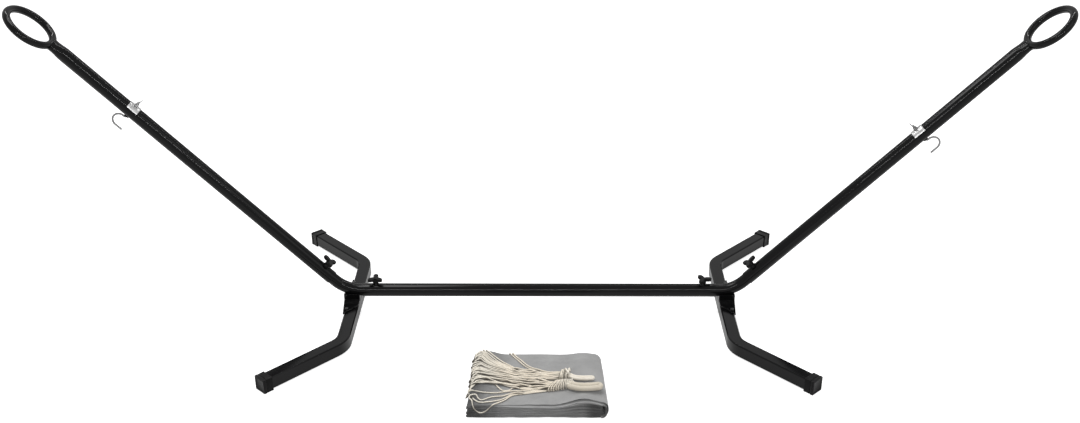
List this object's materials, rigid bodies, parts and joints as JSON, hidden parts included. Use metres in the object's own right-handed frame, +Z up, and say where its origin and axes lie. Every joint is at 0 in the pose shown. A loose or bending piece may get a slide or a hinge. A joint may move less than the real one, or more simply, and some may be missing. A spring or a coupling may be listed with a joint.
{
  "type": "hammock with stand",
  "caption": "Steel hammock stand with telescoping tube joints, end rings, hooks and splayed legs, and its folded hammock with corded ends lying in front.",
  "frame": {"origin": "on the floor, under the middle of the whole object's box", "axes": "+X to the right along the beam, +Y to the rear, away from the folded hammock, +Z up"},
  "size_m": [2.767, 0.9705, 0.9008],
  "materials": {
    "black_paint": "semi-gloss black powder coat on steel tube",
    "black_plastic": "satin black moulded plastic",
    "black_steel": "blackened steel fasteners",
    "zinc": "bright zinc plated steel",
    "grey_cloth": "matt grey cotton and polyester weave",
    "cream_cord": "natural cream twisted cotton cord"
  },
  "bodies": {
    "left_base": {"left_base_leg": "black_paint", "left_front_foot_cap": "black_plastic", "left_rear_foot_cap": "black_plastic", "left_saddle_bracket": "black_paint", "left_front_bracket_screw": "black_steel", "left_rear_bracket_screw": "black_steel", "left_elbow_tube": "black_paint"},
    "left_arm": {"left_arm_tube": "black_paint", "left_end_ring": "black_paint", "left_arm_boss": "black_paint", "left_hook_washer": "zinc"},
    "left_hook": {"left_j_hook": "zinc", "left_hook_bush": "black_plastic"},
    "left_wing_nut": {"left_wing_nut": "zinc"},
    "left_arm_stud": {"left_arm_stud": "zinc"},
    "left_arm_knob": {"left_arm_knob": "black_plastic"},
    "left_beam_stud": {"left_beam_stud": "zinc"},
    "left_beam_knob": {"left_beam_knob": "black_plastic"},
    "right_base": {"right_base_leg": "black_paint", "right_front_foot_cap": "black_plastic", "right_rear_foot_cap": "black_plastic", "right_saddle_bracket": "black_paint", "right_front_bracket_screw": "black_steel", "right_rear_bracket_screw": "black_steel", "right_elbow_tube": "black_paint"},
    "right_arm": {"right_arm_tube": "black_paint", "right_end_ring": "black_paint", "right_arm_boss": "black_paint", "right_hook_washer": "zinc"},
    "right_hook": {"right_j_hook": "zinc", "right_hook_bush": "black_plastic"},
    "right_wing_nut": {"right_wing_nut": "zinc"},
    "right_arm_stud": {"right_arm_stud": "zinc"},
    "right_arm_knob": {"right_arm_knob": "black_plastic"},
    "right_beam_stud": {"right_beam_stud": "zinc"},
    "right_beam_knob": {"right_beam_knob": "black_plastic"},
    "beam": {"centre_beam": "black_paint", "left_beam_boss": "black_paint", "right_beam_boss": "black_paint"},
    "hammock": {"hammock_cloth": "grey_cloth", "upper_clew_cord": "cream_cord", "upper_clew_whipping": "cream_cord", "upper_end_loop": "cream_cord", "lower_clew_cord": "cream_cord", "lower_clew_whipping": "cream_cord", "lower_end_loop": "cream_cord"}
  },
  "joints": [
    {"name": "beam_pull_out", "type": "slide", "parent": "left_base", "child": "beam", "axis": [1, 0, 0], "range_m": [0, 0.075]},
    {"name": "right_base_pull_out", "type": "slide", "parent": "beam", "child": "right_base", "axis": [1, 0, 0], "range_m": [0, 0.075]},
    {"name": "left_arm_pull_out", "type": "slide", "parent": "left_base", "child": "left_arm", "axis": [-0.6997, 0, 0.7145], "range_m": [0, 0.075]},
    {"name": "right_arm_pull_out", "type": "slide", "parent": "right_base", "child": "right_arm", "axis": [0.6997, 0, 0.7145], "range_m": [0, 0.075]},
    {"name": "left_arm_screw_out", "type": "slide", "parent": "left_arm", "child": "left_arm_stud", "axis": [0.7145, 0, 0.6997], "range_m": [0, 0.00375]},
    {"name": "left_arm_knob_turn", "type": "hinge", "parent": "left_arm_stud", "child": "left_arm_knob", "pos_m": [-0.62216, 0.04821, 0.13004], "axis": [0.7145, 0, 0.6997], "range_deg": [0, 1080]},
    {"name": "left_beam_screw_out", "type": "slide", "parent": "beam", "child": "left_beam_stud", "axis": [0, 0, 1], "range_m": [0, 0.00375]},
    {"name": "left_beam_knob_turn", "type": "hinge", "parent": "left_beam_stud", "child": "left_beam_knob", "pos_m": [-0.47086, 0.04821, 0.0635], "axis": [0, 0, 1], "range_deg": [0, 1080]},
    {"name": "right_arm_screw_out", "type": "slide", "parent": "right_arm", "child": "right_arm_stud", "axis": [-0.7145, 0, 0.6997], "range_m": [0, 0.00375]},
    {"name": "right_arm_knob_turn", "type": "hinge", "parent": "right_arm_stud", "child": "right_arm_knob", "pos_m": [0.62216, 0.04821, 0.13004], "axis": [-0.7145, 0, 0.6997], "range_deg": [0, 1080]},
    {"name": "right_beam_screw_out", "type": "slide", "parent": "beam", "child": "right_beam_stud", "axis": [0, 0, 1], "range_m": [0, 0.00375]},
    {"name": "right_beam_knob_turn", "type": "hinge", "parent": "right_beam_stud", "child": "right_beam_knob", "pos_m": [0.47086, 0.04821, 0.0635], "axis": [0, 0, 1], "range_deg": [0, 1080]},
    {"name": "left_wing_nut_turn", "type": "hinge", "parent": "left_arm", "child": "left_wing_nut", "pos_m": [-1.09574, 0.04821, 0.61364], "axis": [0.7145, 0, 0.6997], "range_deg": [0, 1440]},
    {"name": "left_hook_drop", "type": "slide", "parent": "left_arm", "child": "left_hook", "axis": [-0.7145, 0, -0.6997], "range_m": [0, 0.004]},
    {"name": "right_wing_nut_turn", "type": "hinge", "parent": "right_arm", "child": "right_wing_nut", "pos_m": [1.03137, 0.04821, 0.54791], "axis": [-0.7145, 0, 0.6997], "range_deg": [0, 1440]},
    {"name": "right_hook_drop", "type": "slide", "parent": "right_arm", "child": "right_hook", "axis": [0.7145, 0, -0.6997], "range_m": [0, 0.004]},
    {"name": "hammock_lift", "type": "slide", "parent": "left_base", "child": "hammock", "axis": [0, 0, 1], "range_m": [0, 0.3]}
  ],
  "couplings": [
    {"joint": "left_arm_screw_out", "follows": "left_arm_knob_turn", "m_per_rad": 0.00019894},
    {"joint": "left_beam_screw_out", "follows": "left_beam_knob_turn", "m_per_rad": 0.00019894},
    {"joint": "right_arm_screw_out", "follows": "right_arm_knob_turn", "m_per_rad": 0.00019894},
    {"joint": "right_beam_screw_out", "follows": "right_beam_knob_turn", "m_per_rad": 0.00019894},
    {"joint": "left_wing_nut_turn", "follows": "left_hook_drop", "rad_per_m": 6283.2},
    {"joint": "right_wing_nut_turn", "follows": "right_hook_drop", "rad_per_m": 6283.2}
  ]
}
